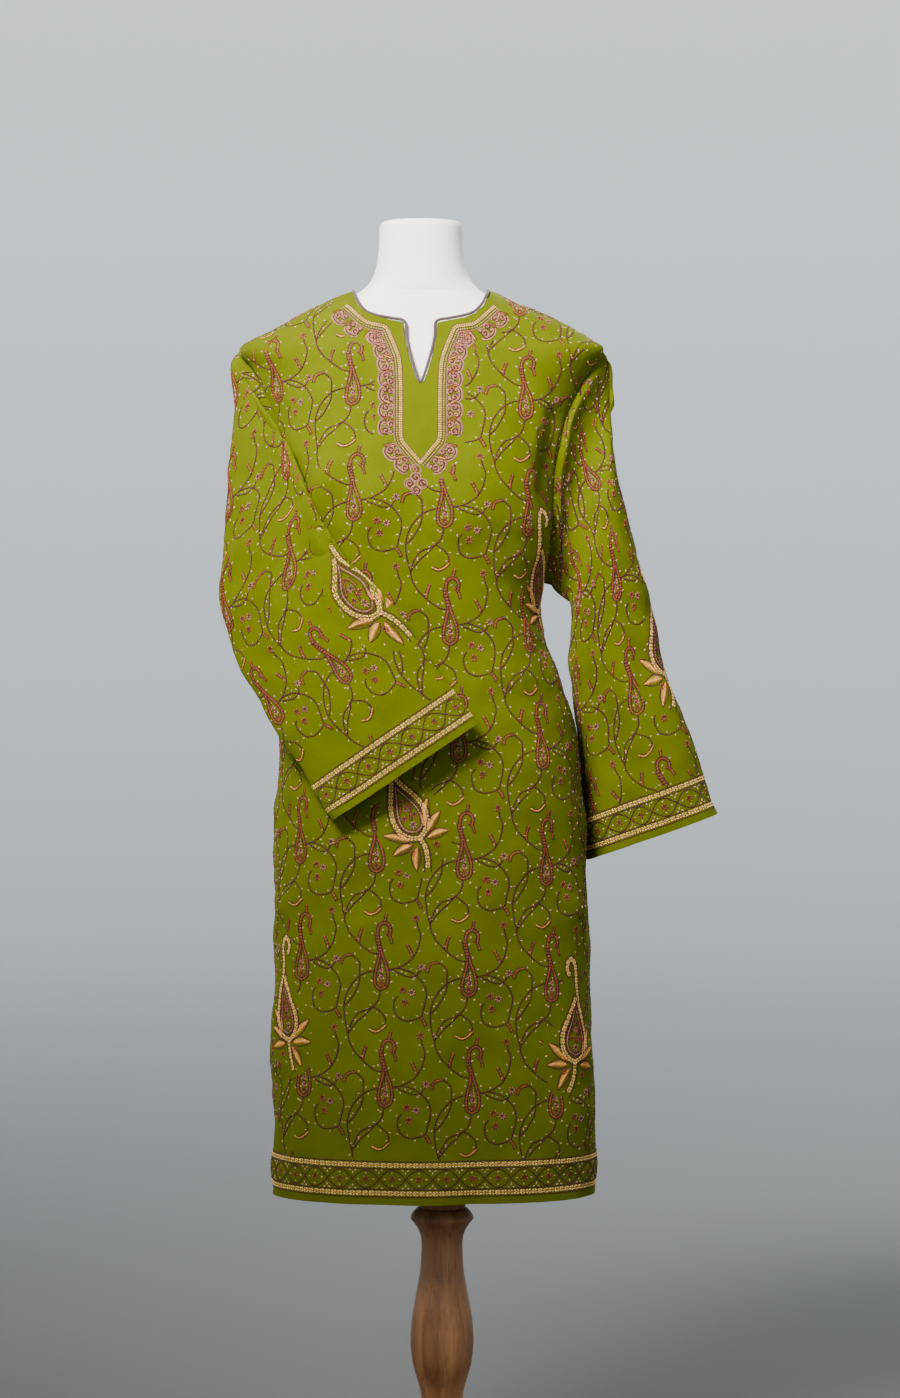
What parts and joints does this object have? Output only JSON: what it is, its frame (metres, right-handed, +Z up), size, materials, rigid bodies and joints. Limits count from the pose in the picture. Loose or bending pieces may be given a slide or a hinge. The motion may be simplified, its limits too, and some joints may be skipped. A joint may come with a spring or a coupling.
{
  "type": "pheran on a limbless dress form with a turned wooden stand",
  "caption": "Knee-length embroidered wool pheran with a slit round neck and wide sleeves, worn by a limbless dress form on a turned wooden stand with a round base.",
  "frame": {"origin": "where the axis of the stand meets the floor, on the underside of the base", "axes": "+Z up along the stand, +X across the garment towards its hanging sleeve, -Y the way its front faces"},
  "size_m": [0.5686, 0.38, 1.498],
  "materials": {
    "wool": "soft matte green wool with a slightly fuzzy surface",
    "piping": "matte mauve-brown cord piping",
    "form_cover": "smooth off-white cotton cover",
    "wood": "satin mid-brown turned wood"
  },
  "bodies": {
    "root": {"front_panel": "wool", "back_panel": "wool", "left_sleeve": "wool", "right_sleeve": "wool", "neck_piping": "piping", "dress_form": "form_cover", "stand_post": "wood", "stand_column": "wood", "stand_base": "wood"}
  },
  "joints": []
}
